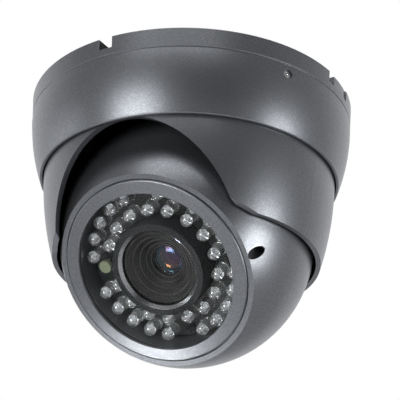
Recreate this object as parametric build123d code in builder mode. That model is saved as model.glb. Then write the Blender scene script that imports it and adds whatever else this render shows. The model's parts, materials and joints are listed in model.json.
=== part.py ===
from build123d import *
from math import cos, radians, sin, sqrt, tan
import os

# Surveillance camera of the turret type: a ball with the lens and LEDs tilts in a turret that
# turns in a ceiling base. Millimetres, +Z up to the ceiling, origin at the centre of the
# ceiling face. At rest the lens looks along -Y and down. Azimuths run from -Y towards +X.

os.makedirs("parts", exist_ok=True)

# ---------------------------------------------------------------- driving dimensions
RIM_R = 65.0                 # base rim at the ceiling
SEAM_R = 64.7                # base and cover where they meet
SEAM_Z = -8.1
COVER_LIP_R = 60.3           # lower edge of the cover
COVER_LIP_Z = -34.85
TURRET_R = 58.56
TURRET_BEND_Z = -32.0        # straight above, drawn in below
TURRET_LIP_R = 53.14
TURRET_LIP_Z = -69.5
TURRET_TURN = 5.5            # where the turret's arch points at rest, degrees
BALL_R = 50.6
BALL_Z = -59.77
TILT = 46.25                 # lens axis below the horizontal at rest, degrees
BEZEL_R = 38.0
BEZEL_H = 31.9               # heights H are along the lens axis from the ball's centre
LED_R = 2.5                  # 5 mm LEDs
LED_BOARD_H = 17.9

# ---------------------------------------------------------------- planes and axes
tilt = radians(TILT)
ball_centre = Vector(0, 0, BALL_Z)
lens_dir = Vector(0, -cos(tilt), -sin(tilt))
lens_axis = Axis(ball_centre, lens_dir)
face = Plane(origin=ball_centre, x_dir=(1, 0, 0), z_dir=lens_dir)
section = Plane(origin=ball_centre, x_dir=(1, 0, 0), z_dir=Vector(1, 0, 0).cross(lens_dir))
upright = Plane.XZ           # radius along X, height along Z
OVER = 1.0                   # how far a cut starts or ends outside what it cuts
HOLE_SPARE = 0.1             # radius of a clearance hole over its screw's


def sphere_r(height, radius=BALL_R):
    """Radius of a sphere's circle at a height from its centre."""
    return sqrt(radius**2 - height**2)


def on_circle(radius, azimuth):
    """Point on a horizontal circle, at an azimuth from -Y towards +X."""
    angle = radians(azimuth)
    return radius * sin(angle), -radius * cos(angle)


def outward(azimuth, height, start=0.0):
    """Plane facing away from the vertical axis at an azimuth, start mm out from it."""
    out = Vector(*on_circle(1, azimuth), 0)
    across = Vector(-out.Y, out.X, 0)
    return Plane(origin=out * start + Vector(0, 0, height), x_dir=across, z_dir=out)


def turned_outline(plane, *points):
    """Closed outline of straight runs, for a piece turned about an axis in its plane."""
    with BuildSketch(plane) as outline:
        with BuildLine():
            Polyline(*points, close=True)
        make_face()
    return outline.sketch


def ring_sector(inner, outer, start, end):
    """Flat piece of a ring between two azimuths."""
    middle = (start + end) / 2
    with BuildSketch() as piece:
        with BuildLine():
            Line(on_circle(inner, start), on_circle(outer, start))
            ThreePointArc(on_circle(outer, start), on_circle(outer, middle), on_circle(outer, end))
            Line(on_circle(outer, end), on_circle(inner, end))
            ThreePointArc(on_circle(inner, end), on_circle(inner, middle), on_circle(inner, start))
        make_face()
    return piece.sketch


# ---------------------------------------------------------------- base housing
RIM_INNER_R = 57.0
TROUGH_Z = -5.4              # floor of the cable trough behind the rim
TROUGH_INNER_R = 38.0
CROWN_Z = -1.6               # middle of the web, raised over the ball
CROWN_R = 33.0
WEB_T = 2.6
SPIGOT_R = 61.2
SPIGOT_INNER_R = 58.2
SPIGOT_END_Z = -17.6
SEAM_CHAMFER = 0.35
RIM_CHAMFER = 0.4
CEILING_PCD = 104.0
CEILING_HOLE_R = 2.3
CEILING_BOSS_R = 4.6
CEILING_AZIMUTHS = (60, 180, 300)
NOTCH_DEPTH = 5.0
FRONT_NOTCH_W = 6.2
FRONT_NOTCH_AZ = 0.8
SIDE_NOTCH = (89.0, 105.0)
CABLE_R = 46.5               # where the lead passes the web
CABLE_AZ = 150.0
CABLE_HOLE_R = 6.0
SCREW_AZIMUTHS = (67.6, 187.6, 307.6)
SCREW_Z = -12.2
SCREW_R = 1.45
STOP_INNER_R = 55.0
STOP_HALF_ANGLE = 2.5
STOP_AZIMUTH = 210.0          # opposite the turret's lug at rest
STOP_DROP = 0.2

ceiling_holes = [on_circle(CEILING_PCD / 2, azimuth) for azimuth in CEILING_AZIMUTHS]
base_outline = turned_outline(
    upright,
    (0, CROWN_Z - WEB_T), (CROWN_R, CROWN_Z - WEB_T), (TROUGH_INNER_R, TROUGH_Z - WEB_T),
    (SPIGOT_INNER_R, TROUGH_Z - WEB_T), (SPIGOT_INNER_R, SPIGOT_END_Z), (SPIGOT_R, SPIGOT_END_Z),
    (SPIGOT_R, SEAM_Z), (SEAM_R - SEAM_CHAMFER, SEAM_Z), (SEAM_R, SEAM_Z + SEAM_CHAMFER),
    (RIM_R, -RIM_CHAMFER), (RIM_R - RIM_CHAMFER, 0), (RIM_INNER_R, 0),
    (RIM_INNER_R, TROUGH_Z), (TROUGH_INNER_R, TROUGH_Z), (CROWN_R, CROWN_Z), (0, CROWN_Z),
)
base_stop = ring_sector(
    STOP_INNER_R, SPIGOT_INNER_R + OVER, STOP_AZIMUTH - STOP_HALF_ANGLE, STOP_AZIMUTH + STOP_HALF_ANGLE
)
side_notch = ring_sector(RIM_INNER_R - OVER, RIM_R + OVER, *SIDE_NOTCH)
with BuildPart() as base_housing:
    revolve(base_outline, axis=Axis.Z)
    with BuildSketch(Plane.XY.offset(TROUGH_Z)):
        with Locations(*ceiling_holes):
            Circle(CEILING_BOSS_R)
    extrude(amount=-TROUGH_Z)
    with BuildSketch(Plane.XY.offset(TROUGH_Z - WEB_T)):
        add(base_stop)
    extrude(amount=SPIGOT_END_Z - STOP_DROP - TROUGH_Z + WEB_T)
    with BuildSketch():
        with Locations(*ceiling_holes):
            Circle(CEILING_HOLE_R)
        with Locations(on_circle(CABLE_R, CABLE_AZ)):
            Circle(CABLE_HOLE_R)
    extrude(amount=TROUGH_Z - WEB_T, mode=Mode.SUBTRACT)
    with BuildSketch(outward(FRONT_NOTCH_AZ, 0, RIM_INNER_R - OVER)):
        Rectangle(FRONT_NOTCH_W, 2 * NOTCH_DEPTH)
    extrude(amount=RIM_R, mode=Mode.SUBTRACT)
    extrude(side_notch, amount=-NOTCH_DEPTH, mode=Mode.SUBTRACT)
    for azimuth in SCREW_AZIMUTHS:
        with BuildSketch(outward(azimuth, SCREW_Z, SPIGOT_INNER_R - OVER)):
            Circle(SCREW_R)
        extrude(amount=SPIGOT_R - SPIGOT_INNER_R + 2 * OVER, mode=Mode.SUBTRACT)
base_housing.part.label = "base_housing"
export_step(base_housing.part, "parts/base_housing.step")

# ---------------------------------------------------------------- cover ring
COVER_BORE_R = 61.3
COVER_THROAT_R = 59.15
COVER_ROUND = 0.65
SEAM_GAP = 0.12
LEDGE_Z = -21.75
RECESS_R = 2.0
RECESS_FLOOR_R = 63.5

with BuildSketch(upright) as cover_outline:
    with BuildLine():
        top_z = SEAM_Z - SEAM_GAP
        round_top = (COVER_LIP_R, COVER_LIP_Z + COVER_ROUND)
        round_end = (COVER_LIP_R - COVER_ROUND, COVER_LIP_Z)
        round_middle = (
            COVER_LIP_R - COVER_ROUND * (1 - cos(radians(45))),
            COVER_LIP_Z + COVER_ROUND * (1 - sin(radians(45))),
        )
        TangentArc((SEAM_R, top_z - SEAM_CHAMFER), round_top, tangent=(0, -1))
        ThreePointArc(round_top, round_middle, round_end)
        Polyline(
            round_end, (COVER_THROAT_R, COVER_LIP_Z), (COVER_THROAT_R, LEDGE_Z),
            (COVER_BORE_R, LEDGE_Z), (COVER_BORE_R, top_z), (SEAM_R - SEAM_CHAMFER, top_z),
            (SEAM_R, top_z - SEAM_CHAMFER),
        )
    make_face()
with BuildPart() as cover_ring:
    revolve(cover_outline.sketch, axis=Axis.Z)
    for azimuth in SCREW_AZIMUTHS:
        with BuildSketch(outward(azimuth, SCREW_Z, COVER_BORE_R - OVER)):
            Circle(SCREW_R + HOLE_SPARE)
        extrude(amount=RIM_R - COVER_BORE_R, mode=Mode.SUBTRACT)
        with BuildSketch(outward(azimuth, SCREW_Z, RECESS_FLOOR_R)):
            Circle(RECESS_R)
        extrude(amount=RIM_R - RECESS_FLOOR_R, mode=Mode.SUBTRACT)
cover_ring.part.label = "cover_ring"
export_step(cover_ring.part, "parts/cover_ring.step")

# ---------------------------------------------------------------- cover screws
SCREW_TIP_R = 58.6
SCREW_END_R = 63.7
SOCKET_R = 0.85
SOCKET_DEPTH = 1.3

with BuildPart() as cover_screws:
    for azimuth in SCREW_AZIMUTHS:
        with BuildSketch(outward(azimuth, SCREW_Z, SCREW_TIP_R)):
            Circle(SCREW_R)
        extrude(amount=SCREW_END_R - SCREW_TIP_R)
        with BuildSketch(outward(azimuth, SCREW_Z, SCREW_END_R)):
            RegularPolygon(SOCKET_R, 6)
        extrude(amount=-SOCKET_DEPTH, mode=Mode.SUBTRACT)
cover_screws.part.label = "cover_screws"
export_step(cover_screws.part, "parts/cover_screws.step")

# ---------------------------------------------------------------- side entry plug
PLUG_FACE = (93.6, 104.7)
PLUG_FACE_R = (61.0, 64.3)
PLUG_TONGUE = (95.0, 103.5)
PLUG_TONGUE_R = (58.5, 61.5)
PLUG_TOP_Z = -0.15

plug_face = ring_sector(*PLUG_FACE_R, *PLUG_FACE)
plug_tongue = ring_sector(*PLUG_TONGUE_R, *PLUG_TONGUE)
with BuildPart() as side_entry_plug:
    extrude(plug_face + plug_tongue, amount=-NOTCH_DEPTH)
    with BuildSketch(Plane.XY.offset(PLUG_TOP_Z)):
        Circle(RIM_R + OVER)
    extrude(amount=OVER, mode=Mode.SUBTRACT)
side_entry_plug.part.label = "side_entry_plug"
export_step(side_entry_plug.part, "parts/side_entry_plug.step")

# ---------------------------------------------------------------- cable grommet
GROMMET_FLANGE_R = 8.0
GROMMET_FLANGE_T = 1.3
GROMMET_BORE_R = 3.2
web_bottom_z = TROUGH_Z - WEB_T
cable_spot = on_circle(CABLE_R, CABLE_AZ)
with BuildPart() as cable_grommet:
    for height, thickness, radius in (
        (web_bottom_z - GROMMET_FLANGE_T, GROMMET_FLANGE_T, GROMMET_FLANGE_R),
        (web_bottom_z, WEB_T, CABLE_HOLE_R),
        (TROUGH_Z, GROMMET_FLANGE_T, GROMMET_FLANGE_R),
    ):
        with BuildSketch(Plane.XY.offset(height)):
            with Locations(cable_spot):
                Circle(radius)
                Circle(GROMMET_BORE_R, mode=Mode.SUBTRACT)
        extrude(amount=thickness)
cable_grommet.part.label = "cable_grommet"
export_step(cable_grommet.part, "parts/cable_grommet.step")

# ---------------------------------------------------------------- slide ring
FLANGE_BOTTOM_Z = -21.0
SLIDE_GAP = 0.06
SLIDE_RING_R = (59.4, 61.1)

slide_outline = turned_outline(
    upright,
    (SLIDE_RING_R[0], LEDGE_Z), (SLIDE_RING_R[1], LEDGE_Z),
    (SLIDE_RING_R[1], FLANGE_BOTTOM_Z - SLIDE_GAP), (SLIDE_RING_R[0], FLANGE_BOTTOM_Z - SLIDE_GAP),
)
with BuildPart() as slide_ring:
    revolve(slide_outline, axis=Axis.Z)
slide_ring.part.label = "slide_ring"
export_step(slide_ring.part, "parts/slide_ring.step")

# ---------------------------------------------------------------- turret shell
FLANGE_R = 61.0
FLANGE_TOP_Z = -18.2
WEB_OPENING_R = 39.5
TURRET_WALL = 3.1
TURRET_LIP_WALL = 1.9
ARCH_HALF_W = 38.9           # the arch is an ellipse, seen along its own axis
ARCH_HALF_H = 46.6
ARCH_DROP = 10.8             # its centre below the ball's, across that axis
ARCH_DIP = 10.0              # arch axis below the horizontal, degrees
ARCH_START = 15.0
RELIEF_Y = 28.7              # in front of here the lip rises
RELIEF_SLOPE = 19.4
LUG_R = (55.2, 58.0)
LUG_TOP_Z = -15.5
YOKE_SCREW_R = 1.5
YOKE_SCREW_PCR = 47.5
YOKE_SCREW_AZIMUTHS = (60, 180, 300)
YOKE_SCREW_TOP_Z = -18.6

front = Vector(*on_circle(1, TURRET_TURN), 0)
side = Vector(-front.Y, front.X, 0)
dip = radians(ARCH_DIP)
arch_dir = front * cos(dip) + Vector(0, 0, -sin(dip))
arch_up = front * sin(dip) + Vector(0, 0, cos(dip))
arch_plane = Plane(
    origin=ball_centre - arch_up * ARCH_DROP + arch_dir * ARCH_START, x_dir=side, z_dir=arch_dir
)
relief_plane = Plane(origin=(0, 0, 0), x_dir=front, z_dir=side)
turret_side = 1 if relief_plane.y_dir.Z > 0 else -1
relief_rise = tan(radians(RELIEF_SLOPE))
with BuildSketch(upright) as turret_outline:
    with BuildLine():
        bend_out = (TURRET_R, TURRET_BEND_Z)
        bend_in = (TURRET_R - TURRET_WALL, TURRET_BEND_Z)
        lip_out = (TURRET_LIP_R, TURRET_LIP_Z)
        lip_in = (TURRET_LIP_R - TURRET_LIP_WALL, TURRET_LIP_Z)
        Polyline(
            bend_in, (TURRET_R - TURRET_WALL, FLANGE_BOTTOM_Z), (WEB_OPENING_R, FLANGE_BOTTOM_Z),
            (WEB_OPENING_R, FLANGE_TOP_Z), (FLANGE_R, FLANGE_TOP_Z), (FLANGE_R, FLANGE_BOTTOM_Z),
            (TURRET_R, FLANGE_BOTTOM_Z), bend_out,
        )
        TangentArc(bend_out, lip_out, tangent=(0, -1))
        Line(lip_out, lip_in)
        TangentArc(bend_in, lip_in, tangent=(0, -1))
    make_face()
lug_azimuth = STOP_AZIMUTH - 180
turret_lug = ring_sector(*LUG_R, lug_azimuth - STOP_HALF_ANGLE, lug_azimuth + STOP_HALF_ANGLE)
yoke_screw_spots = [on_circle(YOKE_SCREW_PCR, TURRET_TURN + a) for a in YOKE_SCREW_AZIMUTHS]
with BuildPart() as turret_shell:
    revolve(turret_outline.sketch, axis=Axis.Z)
    with BuildSketch(arch_plane):
        Ellipse(ARCH_HALF_W, ARCH_HALF_H)
    extrude(amount=TURRET_R, mode=Mode.SUBTRACT)
    with BuildSketch(relief_plane):
        with BuildLine():
            Polyline(
                (RELIEF_Y, turret_side * TURRET_LIP_Z),
                (RIM_R, turret_side * (TURRET_LIP_Z + (RIM_R - RELIEF_Y) * relief_rise)),
                (RIM_R, turret_side * (TURRET_LIP_Z - OVER)),
                (RELIEF_Y, turret_side * (TURRET_LIP_Z - OVER)),
                close=True,
            )
        make_face()
    extrude(amount=RIM_R, both=True, mode=Mode.SUBTRACT)
    with BuildSketch(Plane.XY.offset(FLANGE_BOTTOM_Z)):
        with Locations(*yoke_screw_spots):
            Circle(YOKE_SCREW_R)
    extrude(amount=YOKE_SCREW_TOP_Z - FLANGE_BOTTOM_Z, mode=Mode.SUBTRACT)
    with BuildSketch(Plane.XY.offset(FLANGE_TOP_Z)):
        add(turret_lug)
    extrude(amount=LUG_TOP_Z - FLANGE_TOP_Z)
turret_shell.part.label = "turret_shell"
export_step(turret_shell.part, "parts/turret_shell.step")

# ---------------------------------------------------------------- yoke and its screws
YOKE_RING_R = (42.0, 54.4)
YOKE_TOP_Z = -21.1
YOKE_T = 1.5
ARM_X = 50.3                 # inner faces of the arms
ARM_T = 1.4
ARM_HALF_W = 6.0
PIVOT_R = 2.0
PIVOT_CLEARANCE = 0.08
SWING = 8.0                  # the yoke's turn in the turret, each way, degrees
SLOT_SPARE_ANGLE = 0.6
SLOT_SPARE_W = 0.2
YOKE_HEAD_R = 3.0
YOKE_HEAD_T = 1.8
YOKE_HEAD_GAP = 0.15
YOKE_SOCKET_DEPTH = 1.0

with BuildPart() as yoke:
    with BuildSketch(Plane.XY.offset(YOKE_TOP_Z)):
        Circle(YOKE_RING_R[1])
        Circle(YOKE_RING_R[0], mode=Mode.SUBTRACT)
        for azimuth in YOKE_SCREW_AZIMUTHS:
            half_angle = SWING + SLOT_SPARE_ANGLE
            slot_middle = CenterArc(
                (0, 0), YOKE_SCREW_PCR, azimuth - 90 - half_angle, 2 * half_angle, mode=Mode.PRIVATE
            )
            SlotArc(slot_middle, 2 * (YOKE_SCREW_R + SLOT_SPARE_W), mode=Mode.SUBTRACT)
    extrude(amount=-YOKE_T)
    for x_side in (-1, 1):
        arm_plane = Plane(origin=(x_side * ARM_X, 0, BALL_Z), x_dir=(0, 1, 0), z_dir=(x_side, 0, 0))
        rise = (YOKE_TOP_Z - BALL_Z) * arm_plane.y_dir.Z
        with BuildSketch(arm_plane):
            Circle(ARM_HALF_W)
            with Locations((0, rise / 2)):
                Rectangle(2 * ARM_HALF_W, abs(rise))
        extrude(amount=ARM_T)
        with BuildSketch(arm_plane):
            Circle(PIVOT_R + PIVOT_CLEARANCE)
        extrude(amount=ARM_T, mode=Mode.SUBTRACT)
yoke.part.label = "yoke"
export_step(yoke.part, "parts/yoke.step")

head_top_z = YOKE_TOP_Z - YOKE_T - YOKE_HEAD_GAP
with BuildPart() as yoke_screws:
    with BuildSketch(Plane.XY.offset(head_top_z)):
        with Locations(*yoke_screw_spots):
            Circle(YOKE_SCREW_R)
    extrude(amount=YOKE_SCREW_TOP_Z - head_top_z)
    with BuildSketch(Plane.XY.offset(head_top_z)):
        with Locations(*yoke_screw_spots):
            Circle(YOKE_HEAD_R)
    extrude(amount=-YOKE_HEAD_T)
    with BuildSketch(Plane.XY.offset(head_top_z - YOKE_HEAD_T)):
        with Locations(*yoke_screw_spots):
            RegularPolygon(YOKE_SCREW_R, 6)
    extrude(amount=YOKE_SOCKET_DEPTH, mode=Mode.SUBTRACT)
yoke_screws.part.label = "yoke_screws"
export_step(yoke_screws.part, "parts/yoke_screws.step")

# ---------------------------------------------------------------- ball, front shell
SHELL_WALL = 3.0
SPLIT_H = -9.0               # plane between the front and rear shells
FRONT_H = 30.5               # front land of the ball
BEZEL_SEAT_R = 38.35
BEZEL_FLOOR_H = 29.5
GLASS_SEAT_R = 36.75
GLASS_LEDGE_H = 28.3
TUBE_R = 33.2
TUBE_OUTER_R = 35.6
BRACKET_H = 12.0             # inner web that carries the boards and the lens shroud
BRACKET_T = 1.6
BRACKET_OPENING_R = 18.4
POCKET_H = 19.0
SEAL_BORE_R = 46.9
SEAL_BORE_H = -3.0
FLAT_X = 49.9                # flats on the ball's sides, under the yoke's arms
FLAT_R = 8.5
PIVOT_BOSS_R = 3.4
PIVOT_BOSS_X = 44.5
LOCK_ANGLES = (356.0, 176.0)    # tilt-lock set screws, in deep holes along the lens axis
LOCK_PCR = 42.4
LOCK_HOLE_R = 2.2
LOCK_SEAT_H = 16.0
LOCK_R = 1.5
LOCK_BOSS_R = 3.6
LOCK_BOSS_H = 5.0
POST_SPOT = 17.0             # board posts, in a square
POST_STUD_R = 1.2
SHELL_POST_R = 3.4
SHELL_POST_PCR = 40.6
SHELL_SCREW_ANGLES = (90, 210, 330)
SHELL_SCREW_R = 1.25
SHELL_THREAD_H = -1.0
OUTER_RING_R = 29.7          # outer ring of LEDs
BOARD_SCREW_ANGLES = (86.0, 266.0)
BOARD_SCREW_R = 1.0
BOARD_BOSS_R = 2.6
LED_BOARD_T = 1.2
POST_ROOT = 0.5              # how far the shell's posts run into its front


def on_face(radius, angle, height):
    """Point at a radius and an angle about the lens axis, height mm out from the ball's centre."""
    turn = radians(angle)
    return face.from_local_coords(Vector(radius * cos(turn), radius * sin(turn), height))


def ball_arc(start_h, end_h, radius=BALL_R):
    """Stretch of the ball's outline between two heights."""
    middle_h = (start_h + end_h) / 2
    return ThreePointArc(
        (sphere_r(start_h, radius), start_h),
        (sphere_r(middle_h, radius), middle_h),
        (sphere_r(end_h, radius), end_h),
        mode=Mode.PRIVATE,
    )


shell_posts = [on_circle(SHELL_POST_PCR, angle + 90) for angle in SHELL_SCREW_ANGLES]
lock_spots = [on_circle(LOCK_PCR, angle + 90) for angle in LOCK_ANGLES]
board_posts = [(x, y) for x in (-POST_SPOT, POST_SPOT) for y in (-POST_SPOT, POST_SPOT)]
board_screw_spots = [on_circle(OUTER_RING_R, angle + 90) for angle in BOARD_SCREW_ANGLES]
inner_wall_r = BALL_R - SHELL_WALL
with BuildSketch(section) as front_outline:
    with BuildLine():
        add(ball_arc(SPLIT_H, FRONT_H))
        Polyline(
            (sphere_r(FRONT_H), FRONT_H), (BEZEL_SEAT_R, FRONT_H), (BEZEL_SEAT_R, BEZEL_FLOOR_H),
            (GLASS_SEAT_R, BEZEL_FLOOR_H), (GLASS_SEAT_R, GLASS_LEDGE_H), (TUBE_R, GLASS_LEDGE_H),
            (TUBE_R, BRACKET_H + BRACKET_T), (BRACKET_OPENING_R, BRACKET_H + BRACKET_T),
            (BRACKET_OPENING_R, BRACKET_H), (TUBE_OUTER_R, BRACKET_H), (TUBE_OUTER_R, POCKET_H),
            (sphere_r(POCKET_H, inner_wall_r), POCKET_H),
        )
        add(ball_arc(POCKET_H, SEAL_BORE_H, inner_wall_r))
        Polyline(
            (sphere_r(SEAL_BORE_H, inner_wall_r), SEAL_BORE_H), (SEAL_BORE_R, SEAL_BORE_H),
            (SEAL_BORE_R, SPLIT_H), (sphere_r(SPLIT_H), SPLIT_H),
        )
    make_face()
with BuildPart() as ball_front_shell:
    revolve(front_outline.sketch, axis=lens_axis)
    with BuildSketch(face.offset(SPLIT_H)):
        with Locations(*shell_posts):
            Circle(SHELL_POST_R)
    extrude(amount=POCKET_H - SPLIT_H + POST_ROOT)
    with BuildSketch(face.offset(SPLIT_H)):
        with Locations(*shell_posts):
            Circle(SHELL_SCREW_R)
    extrude(amount=SHELL_THREAD_H - SPLIT_H, mode=Mode.SUBTRACT)
    with BuildSketch(face.offset(BRACKET_H + BRACKET_T)):
        with Locations(*board_screw_spots):
            Circle(BOARD_BOSS_R)
    extrude(amount=LED_BOARD_H - LED_BOARD_T - BRACKET_H - BRACKET_T)
    with BuildSketch(face.offset(BRACKET_H)):
        with Locations(*board_screw_spots):
            Circle(BOARD_SCREW_R)
        with Locations(*board_posts):
            Circle(POST_STUD_R)
    extrude(amount=LED_BOARD_H - BRACKET_H, mode=Mode.SUBTRACT)
    for x_side in (-1, 1):
        with BuildSketch(Plane(origin=(x_side * PIVOT_BOSS_X, 0, BALL_Z), z_dir=(x_side, 0, 0))):
            Circle(PIVOT_BOSS_R)
        extrude(amount=inner_wall_r + OVER - PIVOT_BOSS_X)
        with BuildSketch(Plane(origin=(x_side * FLAT_X, 0, BALL_Z), z_dir=(x_side, 0, 0))):
            Circle(FLAT_R)
        extrude(amount=BALL_R - FLAT_X + OVER, mode=Mode.SUBTRACT)
        bore_plane = Plane(origin=(x_side * (PIVOT_BOSS_X - OVER), 0, BALL_Z), z_dir=(x_side, 0, 0))
        with BuildSketch(bore_plane):
            Circle(PIVOT_R)
        extrude(amount=BALL_R - PIVOT_BOSS_X + OVER, mode=Mode.SUBTRACT)
    with BuildSketch(face.offset(LOCK_BOSS_H)):
        with Locations(*lock_spots):
            Circle(LOCK_BOSS_R)
    extrude(amount=POCKET_H - LOCK_BOSS_H + POST_ROOT)
    with BuildSketch(face.offset(LOCK_BOSS_H)):
        with Locations(*lock_spots):
            Circle(LOCK_R)
    extrude(amount=LOCK_SEAT_H - LOCK_BOSS_H, mode=Mode.SUBTRACT)
    with BuildSketch(face.offset(LOCK_SEAT_H)):
        with Locations(*lock_spots):
            Circle(LOCK_HOLE_R)
    extrude(amount=FRONT_H + OVER - LOCK_SEAT_H, mode=Mode.SUBTRACT)
ball_front_shell.part.label = "ball_front_shell"
export_step(ball_front_shell.part, "parts/ball_front_shell.step")

# ---------------------------------------------------------------- ball, rear shell and seal
REAR_WALL = 2.5
REAR_FLAT_R = 14.0
GLAND_HOLE_R = 8.0
SPIGOT_RING_R = (44.6, 46.8)
SPIGOT_RING_H = -3.6
SEAL_GROOVE_R = 45.65
SEAL_GROOVE_H = (-7.3, -5.7)
SEAL_SECTION_R = 0.62
REAR_STEP_H = -13.0
POCKET_R = 3.2
POCKET_BOSS_R = 4.8
POCKET_FLOOR_H = -14.0
SCREW_PASS_R = 1.6
REAR_FLAT_T = 3.1            # thickness behind, where the gland sits
SHELL_HEAD_R = 2.7
SHELL_HEAD_T = 2.0
SHELL_SOCKET_DEPTH = 1.2
THREAD_GAP = 1.0

rear_h = -sphere_r(REAR_FLAT_R)
rear_inner_h = rear_h + REAR_FLAT_T
rear_inner_r = BALL_R - REAR_WALL
with BuildSketch(section) as rear_solid_outline:
    with BuildLine():
        add(ball_arc(rear_h, SPLIT_H))
        Polyline((sphere_r(SPLIT_H), SPLIT_H), (0, SPLIT_H), (0, rear_h), (REAR_FLAT_R, rear_h))
    make_face()
with BuildSketch(section) as rear_cavity_outline:
    with BuildLine():
        add(ball_arc(rear_inner_h, REAR_STEP_H, rear_inner_r))
        Polyline(
            (sphere_r(REAR_STEP_H, rear_inner_r), REAR_STEP_H), (SPIGOT_RING_R[0], REAR_STEP_H),
            (SPIGOT_RING_R[0], SPLIT_H), (0, SPLIT_H), (0, rear_inner_h),
            (sphere_r(rear_inner_h, rear_inner_r), rear_inner_h),
        )
    make_face()
with BuildPart() as rear_cavity:
    revolve(rear_cavity_outline.sketch, axis=lens_axis)
    with BuildSketch(face.offset(SPLIT_H)):
        with Locations(*shell_posts):
            Circle(POCKET_BOSS_R)
    extrude(amount=-BALL_R, mode=Mode.SUBTRACT)
rear_spigot = turned_outline(
    section,
    (SPIGOT_RING_R[0], SPLIT_H - OVER), (SPIGOT_RING_R[1], SPLIT_H - OVER),
    (SPIGOT_RING_R[1], SEAL_GROOVE_H[0]), (SEAL_GROOVE_R, SEAL_GROOVE_H[0]),
    (SEAL_GROOVE_R, SEAL_GROOVE_H[1]), (SPIGOT_RING_R[1], SEAL_GROOVE_H[1]),
    (SPIGOT_RING_R[1], SPIGOT_RING_H), (SPIGOT_RING_R[0], SPIGOT_RING_H),
)
with BuildPart() as ball_rear_shell:
    revolve(rear_solid_outline.sketch, axis=lens_axis)
    add(rear_cavity.part, mode=Mode.SUBTRACT)
    revolve(rear_spigot, axis=lens_axis)
    with BuildSketch(face.offset(POCKET_FLOOR_H)):
        with Locations(*shell_posts):
            Circle(POCKET_R)
    extrude(amount=-BALL_R, mode=Mode.SUBTRACT)
    with BuildSketch(face.offset(SPLIT_H)):
        with Locations(*shell_posts):
            Circle(SCREW_PASS_R)
    extrude(amount=POCKET_FLOOR_H - SPLIT_H, mode=Mode.SUBTRACT)
    with BuildSketch(face.offset(rear_h)):
        Circle(GLAND_HOLE_R)
    extrude(amount=rear_inner_h - rear_h, mode=Mode.SUBTRACT)
ball_rear_shell.part.label = "ball_rear_shell"
export_step(ball_rear_shell.part, "parts/ball_rear_shell.step")

with BuildSketch(section) as seal_outline:
    with Locations((SEAL_GROOVE_R + SEAL_SECTION_R, sum(SEAL_GROOVE_H) / 2)):
        Circle(SEAL_SECTION_R)
with BuildPart() as shell_seal:
    revolve(seal_outline.sketch, axis=lens_axis)
shell_seal.part.label = "shell_seal"
export_step(shell_seal.part, "parts/shell_seal.step")

with BuildPart() as shell_screws:
    with BuildSketch(face.offset(POCKET_FLOOR_H)):
        with Locations(*shell_posts):
            Circle(SHELL_SCREW_R)
    extrude(amount=SHELL_THREAD_H - THREAD_GAP - POCKET_FLOOR_H)
    with BuildSketch(face.offset(POCKET_FLOOR_H)):
        with Locations(*shell_posts):
            Circle(SHELL_HEAD_R)
    extrude(amount=-SHELL_HEAD_T)
    with BuildSketch(face.offset(POCKET_FLOOR_H - SHELL_HEAD_T)):
        with Locations(*shell_posts):
            RegularPolygon(SHELL_SCREW_R, 6)
    extrude(amount=SHELL_SOCKET_DEPTH, mode=Mode.SUBTRACT)
shell_screws.part.label = "shell_screws"
export_step(shell_screws.part, "parts/shell_screws.step")

# ---------------------------------------------------------------- pivots
PIVOT_HEAD_R = 3.2
PIVOT_HEAD_T = 1.5
PIVOT_SOCKET_DEPTH = 0.9
PIVOT_END_X = 52.0
WASHER_R = 6.5
WASHER_T = 0.35

with BuildPart() as pivot_screws:
    for x_side in (-1, 1):
        head_plane = Plane(origin=(x_side * PIVOT_BOSS_X, 0, BALL_Z), z_dir=(x_side, 0, 0))
        with BuildSketch(head_plane):
            Circle(PIVOT_R)
        extrude(amount=PIVOT_END_X - PIVOT_BOSS_X)
        with BuildSketch(head_plane):
            Circle(PIVOT_HEAD_R)
        extrude(amount=-PIVOT_HEAD_T)
        with BuildSketch(head_plane.offset(-PIVOT_HEAD_T)):
            RegularPolygon(PIVOT_R, 6)
        extrude(amount=PIVOT_SOCKET_DEPTH, mode=Mode.SUBTRACT)
pivot_screws.part.label = "pivot_screws"
export_step(pivot_screws.part, "parts/pivot_screws.step")

with BuildPart() as pivot_washers:
    for x_side in (-1, 1):
        with BuildSketch(Plane(origin=(x_side * FLAT_X, 0, BALL_Z), z_dir=(x_side, 0, 0))):
            Circle(WASHER_R)
            Circle(PIVOT_R + HOLE_SPARE, mode=Mode.SUBTRACT)
        extrude(amount=WASHER_T)
pivot_washers.part.label = "pivot_washers"
export_step(pivot_washers.part, "parts/pivot_washers.step")

LOCK_TIP_H = 3.05
LOCK_TOP_H = 13.0
LOCK_SOCKET_R = 1.0
LOCK_SOCKET_DEPTH = 1.8

with BuildPart() as lock_screws:
    with BuildSketch(face.offset(LOCK_TIP_H)):
        with Locations(*lock_spots):
            Circle(LOCK_R)
    extrude(amount=LOCK_TOP_H - LOCK_TIP_H)
    with BuildSketch(face.offset(LOCK_TOP_H)):
        with Locations(*lock_spots):
            RegularPolygon(LOCK_SOCKET_R, 6)
    extrude(amount=-LOCK_SOCKET_DEPTH, mode=Mode.SUBTRACT)
lock_screws.part.label = "lock_screws"
export_step(lock_screws.part, "parts/lock_screws.step")

# ---------------------------------------------------------------- bezel, glass and gasket
BEZEL_INNER_R = 32.6
BEZEL_SLOPE = 8.0            # the face falls outwards
BEZEL_ROUND = 0.8
BEZEL_SKIRT_H = 29.6
BEZEL_EDGE = 0.2
GLASS_R = 36.6
GLASS_FRONT_H = 30.7
GLASS_T = 1.4
GASKET_R = (33.4, 36.5)

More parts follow.
